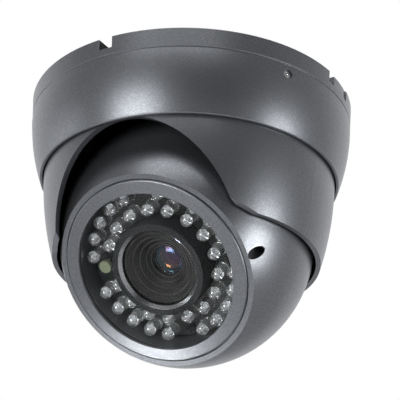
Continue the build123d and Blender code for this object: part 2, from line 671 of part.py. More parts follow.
with BuildSketch(section) as bezel_outline:
    with BuildLine():
        face_r = BEZEL_R - BEZEL_ROUND
        edge_h = BEZEL_H - (face_r - BEZEL_INNER_R) * tan(radians(BEZEL_SLOPE))
        round_start = (face_r, edge_h)
        round_end = (BEZEL_R, edge_h - BEZEL_ROUND)
        slack = BEZEL_ROUND * (1 - sin(radians(45)))
        ThreePointArc(round_start, (BEZEL_R - slack, edge_h - slack), round_end)
        Polyline(
            round_end, (BEZEL_R, BEZEL_SKIRT_H), (GLASS_SEAT_R, BEZEL_SKIRT_H),
            (GLASS_SEAT_R, GLASS_FRONT_H), (BEZEL_INNER_R, GLASS_FRONT_H),
            (BEZEL_INNER_R, BEZEL_H - BEZEL_EDGE), (BEZEL_INNER_R + BEZEL_EDGE, BEZEL_H), round_start,
        )
    make_face()
with BuildPart() as bezel_ring:
    revolve(bezel_outline.sketch, axis=lens_axis)
bezel_ring.part.label = "bezel_ring"
export_step(bezel_ring.part, "parts/bezel_ring.step")

with BuildPart() as front_glass:
    with BuildSketch(face.offset(GLASS_FRONT_H - GLASS_T)):
        Circle(GLASS_R)
    extrude(amount=GLASS_T)
front_glass.part.label = "front_glass"
export_step(front_glass.part, "parts/front_glass.step")

with BuildPart() as glass_gasket:
    with BuildSketch(face.offset(GLASS_LEDGE_H)):
        Circle(GASKET_R[1])
        Circle(GASKET_R[0], mode=Mode.SUBTRACT)
    extrude(amount=GLASS_FRONT_H - GLASS_T - GLASS_LEDGE_H)
glass_gasket.part.label = "glass_gasket"
export_step(glass_gasket.part, "parts/glass_gasket.step")

# ---------------------------------------------------------------- LED board, LEDs and photocell
LED_BOARD_R = 32.8
LED_BOARD_BORE_R = 19.6
LED_TIP_H = 26.5
LED_FLANGE_R = 2.9
LED_FLANGE_T = 1.0
OUTER_FIRST = 11.0
OUTER_PLACES = 24            # every sixth place is left free
INNER_RING_R = 23.0
INNER_FIRST = 147.0
INNER_PLACES = 17            # one place belongs to the photocell
PHOTOCELL_PLACE = 1
PHOTOCELL_SPOT = (25.7, 170.0)
PHOTOCELL_R = 2.5
PHOTOCELL_H = (21.5, 23.5)
LEAD_R = 0.3
BOARD_HEAD_R = 2.0
BOARD_HEAD_T = 1.3
BOARD_CROSS = (2.4, 0.5, 0.7)   # cross recess: length, width, depth

with BuildPart() as led_board:
    with BuildSketch(face.offset(LED_BOARD_H - LED_BOARD_T)):
        Circle(LED_BOARD_R)
        Circle(LED_BOARD_BORE_R, mode=Mode.SUBTRACT)
        with Locations(*board_screw_spots):
            Circle(BOARD_SCREW_R + HOLE_SPARE, mode=Mode.SUBTRACT)
    extrude(amount=LED_BOARD_T)
led_board.part.label = "led_board"
export_step(led_board.part, "parts/led_board.step")

led_dome_h = LED_TIP_H - LED_BOARD_H - LED_R
with BuildSketch(Plane.XZ) as led_outline:
    with BuildLine():
        Polyline(
            (0, led_dome_h + LED_R), (0, 0), (LED_FLANGE_R, 0), (LED_FLANGE_R, LED_FLANGE_T),
            (LED_R, LED_FLANGE_T), (LED_R, led_dome_h),
        )
        dome_middle = (LED_R * cos(radians(45)), led_dome_h + LED_R * sin(radians(45)))
        ThreePointArc((LED_R, led_dome_h), dome_middle, (0, led_dome_h + LED_R))
    make_face()
with BuildPart() as led:
    revolve(led_outline.sketch, axis=Axis.Z)

outer_angles = [
    OUTER_FIRST + place * 360 / OUTER_PLACES for place in range(OUTER_PLACES) if (place + 1) % 6
]
inner_angles = [
    INNER_FIRST + place * 360 / INNER_PLACES
    for place in range(INNER_PLACES) if place != PHOTOCELL_PLACE
]
with BuildPart(face.offset(LED_BOARD_H)) as leds_outer:
    with Locations(*[on_circle(OUTER_RING_R, angle + 90) for angle in outer_angles]):
        add(led.part)
leds_outer.part.label = "leds_outer"
export_step(leds_outer.part, "parts/leds_outer.step")

with BuildPart(face.offset(LED_BOARD_H)) as leds_inner:
    with Locations(*[on_circle(INNER_RING_R, angle + 90) for angle in inner_angles]):
        add(led.part)
leds_inner.part.label = "leds_inner"
export_step(leds_inner.part, "parts/leds_inner.step")

cell_x, cell_y = on_circle(PHOTOCELL_SPOT[0], PHOTOCELL_SPOT[1] + 90)
with BuildPart() as photocell:
    with BuildSketch(face.offset(PHOTOCELL_H[0])):
        with Locations((cell_x, cell_y)):
            Circle(PHOTOCELL_R)
    extrude(amount=PHOTOCELL_H[1] - PHOTOCELL_H[0])
    with BuildSketch(face.offset(LED_BOARD_H)):
        with Locations((cell_x, cell_y)):
            with GridLocations(0, PHOTOCELL_R, 1, 2):
                Circle(LEAD_R)
    extrude(amount=PHOTOCELL_H[0] - LED_BOARD_H)
photocell.part.label = "photocell"
export_step(photocell.part, "parts/photocell.step")

with BuildPart() as led_board_screws:
    with BuildSketch(face.offset(BRACKET_H + BRACKET_T)):
        with Locations(*board_screw_spots):
            Circle(BOARD_SCREW_R)
    extrude(amount=LED_BOARD_H - BRACKET_H - BRACKET_T)
    with BuildSketch(face.offset(LED_BOARD_H)):
        with Locations(*board_screw_spots):
            Circle(BOARD_HEAD_R)
    extrude(amount=BOARD_HEAD_T)
    with BuildSketch(face.offset(LED_BOARD_H + BOARD_HEAD_T)):
        with Locations(*board_screw_spots):
            Rectangle(BOARD_CROSS[0], BOARD_CROSS[1])
            Rectangle(BOARD_CROSS[1], BOARD_CROSS[0])
    extrude(amount=-BOARD_CROSS[2], mode=Mode.SUBTRACT)
led_board_screws.part.label = "led_board_screws"
export_step(led_board_screws.part, "parts/led_board_screws.step")

# ---------------------------------------------------------------- lens shroud
SHROUD_R = 19.2
SHROUD_BORE_R = 17.2
SHROUD_RIM_R = 15.5
SHROUD_RIM_T = 1.8
SHROUD_H = 29.2
SHROUD_EDGE = 1.2             # bright chamfer on the rim's inner edge
SHROUD_CORNER = 0.2
SHROUD_STEP = 1.0

shroud_outline = turned_outline(
    section,
    (SHROUD_BORE_R, BRACKET_H + BRACKET_T), (SHROUD_R, BRACKET_H + BRACKET_T),
    (SHROUD_R, SHROUD_H - SHROUD_CORNER), (SHROUD_R - SHROUD_CORNER, SHROUD_H),
    (SHROUD_RIM_R + SHROUD_EDGE, SHROUD_H), (SHROUD_RIM_R, SHROUD_H - SHROUD_EDGE),
    (SHROUD_RIM_R, SHROUD_H - SHROUD_RIM_T), (SHROUD_BORE_R, SHROUD_H - SHROUD_RIM_T - SHROUD_STEP),
)
with BuildPart() as lens_shroud:
    revolve(shroud_outline, axis=lens_axis)
lens_shroud.part.label = "lens_shroud"
export_step(lens_shroud.part, "parts/lens_shroud.step")

# ---------------------------------------------------------------- lens barrel and elements
HOOD_R = 15.0
HOOD_H = 26.8
HOOD_BASE_H = 12.6
BARREL_R = 12.25
BARREL_END_H = -1.6
NECK_R = 10.5
THREAD_R = 8.0
THREAD_H = (-11.0, -7.0)
FRONT_ELEMENT_R = 6.4
SMALL_ELEMENT_R = 5.2
LIGHT_BORE_R = 4.2
ELEMENT_GAP = 0.05
FRONT_SEAT_H = 15.2
MIDDLE_SEAT_H = 5.0
REAR_SHOULDER_H = -6.0

barrel_outline = turned_outline(
    section,
    (HOOD_R, HOOD_H), (HOOD_R, HOOD_BASE_H), (BARREL_R, HOOD_BASE_H), (BARREL_R, BARREL_END_H),
    (NECK_R, BARREL_END_H), (NECK_R, THREAD_H[1]), (THREAD_R, THREAD_H[1]), (THREAD_R, THREAD_H[0]),
    (SMALL_ELEMENT_R, THREAD_H[0]), (SMALL_ELEMENT_R, REAR_SHOULDER_H), (LIGHT_BORE_R, REAR_SHOULDER_H),
    (LIGHT_BORE_R, MIDDLE_SEAT_H), (SMALL_ELEMENT_R, MIDDLE_SEAT_H), (SMALL_ELEMENT_R, FRONT_SEAT_H),
    (FRONT_ELEMENT_R, FRONT_SEAT_H),
    (FRONT_ELEMENT_R, 20.0), (6.9, 20.0), (7.9, 21.3), (8.5, 21.3), (9.9, 23.0), (10.5, 23.0),
    (12.0, 24.8), (12.6, 24.8), (14.2, HOOD_H),
)
with BuildPart() as lens_barrel:
    revolve(barrel_outline, axis=lens_axis)
lens_barrel.part.label = "lens_barrel"
export_step(lens_barrel.part, "parts/lens_barrel.step")


def lens_outline(radius, back_h, edge_h, apex_h):
    """Half section of a lens, flat behind and domed in front."""
    edge_r = radius - ELEMENT_GAP
    bulge = apex_h - edge_h
    curve_r = (edge_r**2 + bulge**2) / (2 * bulge)
    middle_r = edge_r / 2
    middle_h = apex_h - curve_r + sqrt(curve_r**2 - middle_r**2)
    with BuildSketch(section) as outline:
        with BuildLine():
            ThreePointArc((edge_r, edge_h), (middle_r, middle_h), (0, apex_h))
            Polyline((0, apex_h), (0, back_h), (edge_r, back_h), (edge_r, edge_h))
        make_face()
    return outline.sketch


with BuildPart() as front_element:
    revolve(lens_outline(FRONT_ELEMENT_R, FRONT_SEAT_H, 18.0, 19.9), axis=lens_axis)
front_element.part.label = "front_element"
export_step(front_element.part, "parts/front_element.step")

with BuildPart() as middle_element:
    revolve(lens_outline(SMALL_ELEMENT_R, MIDDLE_SEAT_H, 7.4, 8.6), axis=lens_axis)
middle_element.part.label = "middle_element"
export_step(middle_element.part, "parts/middle_element.step")

with BuildPart() as rear_element:
    revolve(lens_outline(SMALL_ELEMENT_R, -10.2, -7.2, -6.05), axis=lens_axis)
rear_element.part.label = "rear_element"
export_step(rear_element.part, "parts/rear_element.step")

# ---------------------------------------------------------------- focus and zoom rings
RING_BORE_R = 12.3
RING_R = 15.2
FOCUS_H = (7.2, 12.2)
ZOOM_H = (0.2, 6.6)
KNURLS = 36
KNURL_W = 0.9
KNURL_DEPTH = 0.5
LEVER_R = 1.2
FOCUS_LEVER_H = 9.7
ZOOM_LEVER_H = 3.4
FOCUS_LEVER_END = 18.4
LEVER_ROOT = 13.4
LEVER_KNOB_R = 1.8
LEVER_KNOB_ROOT = 16.0
ZOOM_ARM = (16.0, 17.6)      # the zoom lever's arm reaches forward past the focus ring
LEVER_ANGLES = (356.0, 176.0)
ZOOM_ARM_END_H = 10.6
ZOOM_ARM_W = 2.4
ZOOM_POST_JOIN = 0.5


def lever_plane(angle, height, start):
    """Plane facing out from the lens axis, start mm from it."""
    origin = on_face(start, angle, height)
    return Plane(origin=origin, z_dir=origin - on_face(0, angle, height))


with BuildPart() as focus_ring:
    with BuildSketch(face.offset(FOCUS_H[0])):
        Circle(RING_R)
        Circle(RING_BORE_R, mode=Mode.SUBTRACT)
        with PolarLocations(RING_R, KNURLS):
            Rectangle(2 * KNURL_DEPTH, KNURL_W, mode=Mode.SUBTRACT)
    extrude(amount=FOCUS_H[1] - FOCUS_H[0])
    with BuildSketch(lever_plane(LEVER_ANGLES[1], FOCUS_LEVER_H, LEVER_ROOT)):
        Circle(LEVER_R)
    extrude(amount=RING_R - LEVER_ROOT + OVER, mode=Mode.SUBTRACT)
focus_ring.part.label = "focus_ring"
export_step(focus_ring.part, "parts/focus_ring.step")

with BuildPart() as focus_lever:
    with BuildSketch(lever_plane(LEVER_ANGLES[1], FOCUS_LEVER_H, LEVER_ROOT)):
        Circle(LEVER_R)
    extrude(amount=LEVER_KNOB_ROOT - LEVER_ROOT)
    with BuildSketch(lever_plane(LEVER_ANGLES[1], FOCUS_LEVER_H, LEVER_KNOB_ROOT)):
        Circle(LEVER_KNOB_R)
    extrude(amount=FOCUS_LEVER_END - LEVER_KNOB_ROOT)
focus_lever.part.label = "focus_lever"
export_step(focus_lever.part, "parts/focus_lever.step")

with BuildPart() as zoom_ring:
    with BuildSketch(face.offset(ZOOM_H[0])):
        Circle(RING_R)
        Circle(RING_BORE_R, mode=Mode.SUBTRACT)
        with PolarLocations(RING_R, KNURLS):
            Rectangle(2 * KNURL_DEPTH, KNURL_W, mode=Mode.SUBTRACT)
    extrude(amount=ZOOM_H[1] - ZOOM_H[0])
    with BuildSketch(lever_plane(LEVER_ANGLES[0], ZOOM_LEVER_H, LEVER_ROOT)):
        Circle(LEVER_R)
    extrude(amount=RING_R - LEVER_ROOT + OVER, mode=Mode.SUBTRACT)
zoom_ring.part.label = "zoom_ring"
export_step(zoom_ring.part, "parts/zoom_ring.step")

zoom_arm_middle = on_circle((ZOOM_ARM[0] + ZOOM_ARM[1]) / 2, LEVER_ANGLES[0] + 90)
with BuildPart() as zoom_lever:
    with BuildSketch(lever_plane(LEVER_ANGLES[0], ZOOM_LEVER_H, LEVER_ROOT)):
        Circle(LEVER_R)
    extrude(amount=ZOOM_ARM[0] + ZOOM_POST_JOIN - LEVER_ROOT)
    with BuildSketch(face.offset(ZOOM_LEVER_H - LEVER_R)):
        with Locations(Location(zoom_arm_middle, LEVER_ANGLES[0])):
            Rectangle(ZOOM_ARM[1] - ZOOM_ARM[0], ZOOM_ARM_W)
    extrude(amount=ZOOM_ARM_END_H - ZOOM_LEVER_H + LEVER_R)
zoom_lever.part.label = "zoom_lever"
export_step(zoom_lever.part, "parts/zoom_lever.step")

# ---------------------------------------------------------------- sensor and power boards
BOARD_SIDE = 38.0
BOARD_CORNER_R = 1.0
BOARD_T = 1.6
SENSOR_BOARD_H = -12.0       # front faces
POWER_BOARD_H = -26.0
HOLDER_SIDE = 22.0
HOLDER_FLANGE_T = 1.8
HOLDER_R = 10.4
HOLDER_TOP_H = -7.3
CHIP_SIDE = 10.0
CHIP_T = 0.9
POST_R = 2.5
POST_HOLE_DEPTH = 4.5
POST_SCREW_HEAD = (2.4, 1.6)    # radius, height
POST_SCREW_CROSS = (3.0, 0.6, 0.8)
THREAD_SPARE = 0.5

with BuildPart() as lens_holder:
    with BuildSketch(face.offset(SENSOR_BOARD_H)):
        Rectangle(HOLDER_SIDE, HOLDER_SIDE)
        Circle(THREAD_R, mode=Mode.SUBTRACT)
    extrude(amount=HOLDER_FLANGE_T)
    with BuildSketch(face.offset(SENSOR_BOARD_H)):
        Circle(HOLDER_R)
        Circle(THREAD_R, mode=Mode.SUBTRACT)
    extrude(amount=HOLDER_TOP_H - SENSOR_BOARD_H)
lens_holder.part.label = "lens_holder"
export_step(lens_holder.part, "parts/lens_holder.step")

with BuildPart() as image_sensor:
    with BuildSketch(face.offset(SENSOR_BOARD_H)):
        Rectangle(CHIP_SIDE, CHIP_SIDE)
    extrude(amount=CHIP_T)
image_sensor.part.label = "image_sensor"
export_step(image_sensor.part, "parts/image_sensor.step")

with BuildPart() as sensor_board:
    with BuildSketch(face.offset(SENSOR_BOARD_H)):
        RectangleRounded(BOARD_SIDE, BOARD_SIDE, BOARD_CORNER_R)
        with Locations(*board_posts):
            Circle(POST_STUD_R, mode=Mode.SUBTRACT)
    extrude(amount=-BOARD_T)
sensor_board.part.label = "sensor_board"
export_step(sensor_board.part, "parts/sensor_board.step")

with BuildPart() as power_board:
    with BuildSketch(face.offset(POWER_BOARD_H)):
        RectangleRounded(BOARD_SIDE, BOARD_SIDE, BOARD_CORNER_R)
        with Locations(*board_posts):
            Circle(POST_STUD_R, mode=Mode.SUBTRACT)
    extrude(amount=-BOARD_T)
power_board.part.label = "power_board"
export_step(power_board.part, "parts/power_board.step")

sensor_back_h = SENSOR_BOARD_H - BOARD_T
power_back_h = POWER_BOARD_H - BOARD_T
with BuildPart() as board_posts_front:
    with BuildSketch(face.offset(SENSOR_BOARD_H)):
        with Locations(*board_posts):
            RegularPolygon(POST_R, 6)
    extrude(amount=BRACKET_H - SENSOR_BOARD_H)
    with BuildSketch(face.offset(BRACKET_H)):
        with Locations(*board_posts):
            Circle(POST_STUD_R)
    extrude(amount=BRACKET_T)
    with BuildSketch(face.offset(SENSOR_BOARD_H)):
        with Locations(*board_posts):
            Circle(POST_STUD_R)
    extrude(amount=POST_HOLE_DEPTH, mode=Mode.SUBTRACT)
board_posts_front.part.label = "board_posts_front"
export_step(board_posts_front.part, "parts/board_posts_front.step")

with BuildPart() as board_posts_rear:
    with BuildSketch(face.offset(POWER_BOARD_H)):
        with Locations(*board_posts):
            RegularPolygon(POST_R, 6)
    extrude(amount=sensor_back_h - POWER_BOARD_H)
    with BuildSketch(face.offset(sensor_back_h)):
        with Locations(*board_posts):
            Circle(POST_STUD_R)
    extrude(amount=BOARD_T + POST_HOLE_DEPTH - THREAD_SPARE)
    with BuildSketch(face.offset(POWER_BOARD_H)):
        with Locations(*board_posts):
            Circle(POST_STUD_R)
    extrude(amount=POST_HOLE_DEPTH, mode=Mode.SUBTRACT)
board_posts_rear.part.label = "board_posts_rear"
export_step(board_posts_rear.part, "parts/board_posts_rear.step")

with BuildPart() as board_screws:
    with BuildSketch(face.offset(power_back_h)):
        with Locations(*board_posts):
            Circle(POST_STUD_R)
    extrude(amount=BOARD_T + POST_HOLE_DEPTH - THREAD_SPARE)
    with BuildSketch(face.offset(power_back_h)):
        with Locations(*board_posts):
            Circle(POST_SCREW_HEAD[0])
    extrude(amount=-POST_SCREW_HEAD[1])
    with BuildSketch(face.offset(power_back_h - POST_SCREW_HEAD[1])):
        with Locations(*board_posts):
            Rectangle(POST_SCREW_CROSS[0], POST_SCREW_CROSS[1])
            Rectangle(POST_SCREW_CROSS[1], POST_SCREW_CROSS[0])
    extrude(amount=POST_SCREW_CROSS[2], mode=Mode.SUBTRACT)
board_screws.part.label = "board_screws"
export_step(board_screws.part, "parts/board_screws.step")

# ---------------------------------------------------------------- parts on the boards
CAPACITOR_R = 4.0
CAPACITOR_L = 9.0
CAPACITOR_PITCH = 10.0
CAPACITOR_ROUND = 0.6
CONNECTOR = (12.0, 5.0, 6.0)
CONNECTOR_WALL = 0.8
CONNECTOR_FLOOR = 1.5
CONNECTOR_SPOT = 12.0

with BuildPart() as capacitors:
    with BuildSketch(face.offset(power_back_h)):
        with GridLocations(CAPACITOR_PITCH, 0, 2, 1):
            Circle(CAPACITOR_R)
    extrude(amount=-CAPACITOR_L)
    fillet(capacitors.faces().sort_by(lens_axis)[:2].edges(), CAPACITOR_ROUND)
capacitors.part.label = "capacitors"
export_step(capacitors.part, "parts/capacitors.step")

length, width, depth = CONNECTOR
with BuildPart() as board_connectors:
    for back_h, spot in ((power_back_h, -CONNECTOR_SPOT), (sensor_back_h, CONNECTOR_SPOT)):
        with BuildSketch(face.offset(back_h)):
            with Locations((0, spot)):
                Rectangle(length, width)
        extrude(amount=-depth)
        with BuildSketch(face.offset(back_h - CONNECTOR_FLOOR)):
            with Locations((0, spot)):
                Rectangle(length - 2 * CONNECTOR_WALL, width - 2 * CONNECTOR_WALL)
        extrude(amount=CONNECTOR_FLOOR - depth, mode=Mode.SUBTRACT)
board_connectors.part.label = "board_connectors"
export_step(board_connectors.part, "parts/board_connectors.step")

# ---------------------------------------------------------------- rear gland
GLAND_FLANGE_R = 10.5
GLAND_FLANGE_T = 1.6
GLAND_TAPER_R = (9.6, 6.5)
GLAND_END_H = -50.4
GLAND_BORE_R = 2.6

gland_outline = turned_outline(
    section,
    (GLAND_BORE_R, rear_inner_h + GLAND_FLANGE_T), (GLAND_FLANGE_R, rear_inner_h + GLAND_FLANGE_T),
    (GLAND_FLANGE_R, rear_inner_h), (GLAND_HOLE_R, rear_inner_h), (GLAND_HOLE_R, rear_h),
    (GLAND_TAPER_R[0], rear_h), (GLAND_TAPER_R[1], GLAND_END_H), (GLAND_BORE_R, GLAND_END_H),
)
with BuildPart() as rear_gland:
    revolve(gland_outline, axis=lens_axis)
rear_gland.part.label = "rear_gland"
export_step(rear_gland.part, "parts/rear_gland.step")
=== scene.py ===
import json
from math import cos, fsum, pi, radians, sin

import bmesh
import bpy
from mathutils import Matrix, Vector


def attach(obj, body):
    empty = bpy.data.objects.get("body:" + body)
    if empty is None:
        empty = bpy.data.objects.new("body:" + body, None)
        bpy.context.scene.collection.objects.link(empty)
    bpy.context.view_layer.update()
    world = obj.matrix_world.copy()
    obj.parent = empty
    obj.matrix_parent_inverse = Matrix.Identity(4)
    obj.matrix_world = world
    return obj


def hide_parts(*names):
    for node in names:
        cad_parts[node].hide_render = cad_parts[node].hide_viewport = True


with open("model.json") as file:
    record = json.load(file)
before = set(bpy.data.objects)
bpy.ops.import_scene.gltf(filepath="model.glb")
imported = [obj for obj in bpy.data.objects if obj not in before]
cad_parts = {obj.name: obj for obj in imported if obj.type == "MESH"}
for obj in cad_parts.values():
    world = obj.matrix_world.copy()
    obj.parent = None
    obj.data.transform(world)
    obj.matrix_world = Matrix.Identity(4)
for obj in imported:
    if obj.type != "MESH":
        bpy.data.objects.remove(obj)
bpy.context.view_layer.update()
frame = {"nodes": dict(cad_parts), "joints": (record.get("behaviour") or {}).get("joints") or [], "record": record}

MM = 0.001

# ---------------------------------------------------------------- places from the frame
joints = {joint["name"]: joint for joint in frame["joints"]}
nodes = frame["nodes"]
ball_centre = Vector(joints["tilt"]["pos_m"])
lens_dir = Vector(joints["focus"]["axis"]).normalized()
face_x = Vector(joints["tilt"]["axis"]).normalized()
face_y = lens_dir.cross(face_x)


def height_of(point):
    """Height of a point along the lens axis, from the ball's centre."""
    return (Vector(point) - ball_centre).dot(lens_dir)


def on_lens_axis(node):
    """Lowest and highest place of a node along the lens axis."""
    heights = [height_of(vertex.co) for vertex in nodes[node].data.vertices]
    return min(heights), max(heights)


def direction(azimuth, elevation):
    """Unit vector from an azimuth, counted from -Y towards +X, and an elevation, in degrees."""
    az, el = radians(azimuth), radians(elevation)
    return Vector((sin(az) * cos(el), -cos(az) * cos(el), sin(el)))


# ---------------------------------------------------------------- node helpers
class Material:
    """A node material with a Principled shader and short names for its usual nodes."""

    def __init__(self, name):
        self.material = bpy.data.materials.new(name)
        self.material.use_nodes = True
        self.tree = self.material.node_tree
        self.tree.nodes.clear()
        self.shader = self.tree.nodes.new("ShaderNodeBsdfPrincipled")
        self.out = self.tree.nodes.new("ShaderNodeOutputMaterial")
        self.link(self.shader.outputs[0], self.out.inputs["Surface"])
        self.place = self.tree.nodes.new("ShaderNodeTexCoord").outputs["Object"]

    def link(self, source, target):
        self.tree.links.new(source, target)

    def node(self, kind, inputs=None, **settings):
        made = self.tree.nodes.new(kind)
        for key, value in settings.items():
            setattr(made, key, value)
        for key, value in (inputs or {}).items():
            if isinstance(value, bpy.types.NodeSocket):
                self.link(value, made.inputs[key])
            else:
                made.inputs[key].default_value = value
        return made

    def set(self, **values):
        """Sets the shader's own sockets; underscores stand for spaces."""
        for key, value in values.items():
            self.shader.inputs[key.replace("_", " ")].default_value = value
        return self

    def drive(self, socket, source):
        self.link(source, self.shader.inputs[socket])

    def noise(self, scale, detail, place=None):
        inputs = {"Vector": place or self.place, "Scale": scale, "Detail": detail}
        return self.node("ShaderNodeTexNoise", inputs).outputs["Fac"]

    def turning_marks(self, height, distance):
        """Fine marks of a lathe tool, the same all the way round an axis."""
        place = self.node("ShaderNodeCombineXYZ", {0: height, 1: distance}).outputs[0]
        return self.noise(9000, 2, place)

    def ramp(self, source, stops):
        """Colour ramp with (position, colour) stops; a plain number is a grey."""
        made = self.node("ShaderNodeValToRGB", {"Fac": source})
        elements = made.color_ramp.elements
        while len(elements) < len(stops):
            elements.new(1.0)
        for element, (position, colour) in zip(elements, stops):
            element.position = position
            element.color = (*colour, 1) if isinstance(colour, tuple) else (colour, colour, colour, 1)
        return made.outputs["Color"]

    def math(self, operation, a, b=0.0):
        return self.node("ShaderNodeMath", {0: a, 1: b}, operation=operation).outputs[0]

    def mix(self, share, a, b):
        """Mixes two colours, each a socket or a tuple, by a share that is a socket or a number."""
        made = self.node("ShaderNodeMix", {0: share}, data_type="RGBA")
        for key, value in ((6, a), (7, b)):
            if isinstance(value, bpy.types.NodeSocket):
                self.link(value, made.inputs[key])
            else:
                made.inputs[key].default_value = (*value, 1)
        return made.outputs[2]

    def bump(self, height, distance, strength):
        made = self.node("ShaderNodeBump", {"Height": height, "Distance": distance, "Strength": strength})
        self.drive("Normal", made.outputs["Normal"])

    def vector_math(self, operation, a, b=(0, 0, 0)):
        return self.node("ShaderNodeVectorMath", {0: a, 1: b}, operation=operation).outputs

    def from_axis(self, origin, axis):
        """Sockets for the height along an axis and the distance from it, in metres."""
        moved = self.vector_math("SUBTRACT", self.place, origin)["Vector"]
        height = self.vector_math("DOT_PRODUCT", moved, axis)["Value"]
        across = self.vector_math("CROSS_PRODUCT", moved, axis)["Vector"]
        distance = self.vector_math("LENGTH", across)["Value"]
        return height, distance


# ---------------------------------------------------------------- materials
SHADE_INSIDE_R = 64.3 * MM      # nearer than this to the Z axis, the base gets painted shade: near black and matt
CHAMFER_DEPTH = 1.25 * MM    # the bare chamfer on the lens shroud's front edge
CHAMFER_OUTER_R = 16.72 * MM
GROOVE_PITCH = 0.35 * MM     # grooves of the lens barrel and its rings


def metallic_paint(name, shade_inside=0.0):
    """Gunmetal paint with aluminium flake; given a radius, it paints shade, near black and matt, on faces nearer
    the Z axis than that.
    """
    m = Material(name)
    flakes = m.node("ShaderNodeTexVoronoi", {"Vector": m.place, "Scale": 3300.0}).outputs["Color"]
    flake = m.node("ShaderNodeSeparateColor", {0: flakes}).outputs[0]
    cloud = m.ramp(m.noise(40, 3), [(0.3, (0.155, 0.163, 0.176)), (0.7, (0.172, 0.180, 0.194))])
    dull, usual, shining = (0.135, 0.143, 0.156), (0.178, 0.186, 0.20), (0.27, 0.277, 0.29)
    bright = m.ramp(flake, [(0.1, dull), (0.7, usual), (0.97, shining)])
    paint = m.mix(0.55, cloud, bright)
    rough = m.ramp(flake, [(0.0, 0.39), (1.0, 0.32)])
    # painted shade: nearer the Z axis than the given radius, the colour turns near black and the paint matt
    if shade_inside:
        distance = m.from_axis(Vector(), Vector((0, 0, 1)))[1]
        bare = m.math("LESS_THAN", distance, shade_inside)
        paint = m.mix(bare, paint, (0.026, 0.027, 0.029))
        rough = m.mix(bare, rough, (0.75, 0.75, 0.75))
    m.drive("Base Color", paint)
    m.drive("Roughness", rough)
    m.bump(m.noise(3000, 1), 0.02 * MM, 0.45)
    return m.set(Metallic=0.9, Coat_Weight=0.1, Coat_Roughness=0.3).material


def brushed_metal(name, low, high, roughness, turning=None):
    """Bare metal with fine tooling marks, round an axis or along Z."""
    m = Material(name)
    if turning:
        marks = m.turning_marks(*m.from_axis(*turning))
    else:
        stretched = m.node("ShaderNodeMapping", {"Vector": m.place, "Scale": (1, 1, 30)}).outputs[0]
        marks = m.noise(900, 3, stretched)
    m.drive("Base Color", m.ramp(marks, [(0.3, low), (0.7, high)]))
    m.drive("Roughness", m.ramp(m.noise(300, 3), [(0.3, roughness * 0.8), (0.7, roughness * 1.2)]))
    m.bump(marks, 0.02 * MM, 0.3)
    return m.set(Metallic=1.0).material


def moulded(name, low, high, roughness, grain=1500.0, depth=0.03 * MM):
    """Moulded plastic or rubber with a fine grain."""
    m = Material(name)
    m.drive("Base Color", m.ramp(m.noise(120, 4), [(0.35, low), (0.65, high)]))
    m.drive("Roughness", m.ramp(m.noise(400, 3), [(0.3, roughness - 0.06), (0.7, roughness + 0.06)]))
    m.bump(m.noise(grain, 3), depth, 0.6)
    return m.material


def clear_glass(name, ior, tint, dust, **values):
    """Polished clear glass or epoxy; a faint film of dust keeps its roughness uneven."""
    m = Material(name)
    paler = tuple(min(1.0, channel * 1.02) for channel in tint)
    m.drive("Base Color", m.ramp(m.noise(60, 2), [(0.3, tint), (0.7, paler)]))
    m.drive("Roughness", m.ramp(m.noise(200, 3), [(0.4, 0.0), (0.8, dust)]))
    m.set(IOR=ior, Transmission_Weight=1.0)
    return m.set(**values).material


def solder_mask():
    """Black solder mask over copper tracks, whose edges show as a faint relief."""
    m = Material("solder_mask")
    black, grey, white = (0, 0, 0, 1), (0.35, 0.35, 0.35, 1), (1, 1, 1, 1)
    layout = {"Vector": m.place, "Scale": 260.0, "Mortar Size": 0.03}
    shades = {"Color1": black, "Color2": grey, "Mortar": white}
    cells = m.node("ShaderNodeTexBrick", {**layout, **shades}).outputs["Color"]
    tracks = m.math("MULTIPLY", cells, m.noise(160, 2))
    m.drive("Base Color", m.mix(tracks, (0.004, 0.006, 0.006), (0.012, 0.016, 0.015)))
    m.drive("Roughness", m.ramp(m.noise(500, 2), [(0.3, 0.30), (0.7, 0.42)]))
    m.bump(tracks, 0.04 * MM, 0.5)
    return m.material


def photocell_face():
    """Pale green light cell with a dark winding track, under a clear lacquer."""
    m = Material("photocell_face")
    winding = {"Vector": m.place, "Scale": 420.0, "Distortion": 2.0, "Detail": 1.0}
    waves = m.node("ShaderNodeTexWave", winding, wave_type="BANDS").outputs["Fac"]
    m.drive("Base Color", m.ramp(waves, [(0.35, (0.09, 0.105, 0.06)), (0.6, (0.16, 0.18, 0.115))]))
    m.drive("Roughness", m.ramp(m.noise(600, 2), [(0.3, 0.25), (0.7, 0.4)]))
    return m.set(Coat_Weight=0.2, Coat_Roughness=0.1).material


def shroud_plastic():
    """Black plastic tube with a bare turned chamfer on its front inner edge."""
    m = Material("shroud_black")
    top = on_lens_axis("lens_shroud")[1]
    height, distance = m.from_axis(ball_centre, lens_dir)
    near_top = m.math("GREATER_THAN", height, top - CHAMFER_DEPTH)
    inside = m.math("LESS_THAN", distance, CHAMFER_OUTER_R)
    edge = m.math("MULTIPLY", near_top, inside)
    black = m.ramp(m.noise(200, 3), [(0.3, (0.008, 0.009, 0.010)), (0.7, (0.014, 0.015, 0.017))])
    turned = m.turning_marks(height, distance)
    bare = m.ramp(turned, [(0.3, (0.34, 0.345, 0.355)), (0.7, (0.48, 0.485, 0.50))])
    matt = m.ramp(m.noise(500, 3), [(0.3, 0.42), (0.7, 0.52)])
    m.drive("Base Color", m.mix(edge, black, bare))
    m.drive("Metallic", edge)
    m.drive("Roughness", m.mix(edge, matt, (0.2, 0.2, 0.2)))
    m.bump(m.noise(1600, 3), 0.03 * MM, 0.4)
    return m.set(Specular_IOR_Level=0.15).material


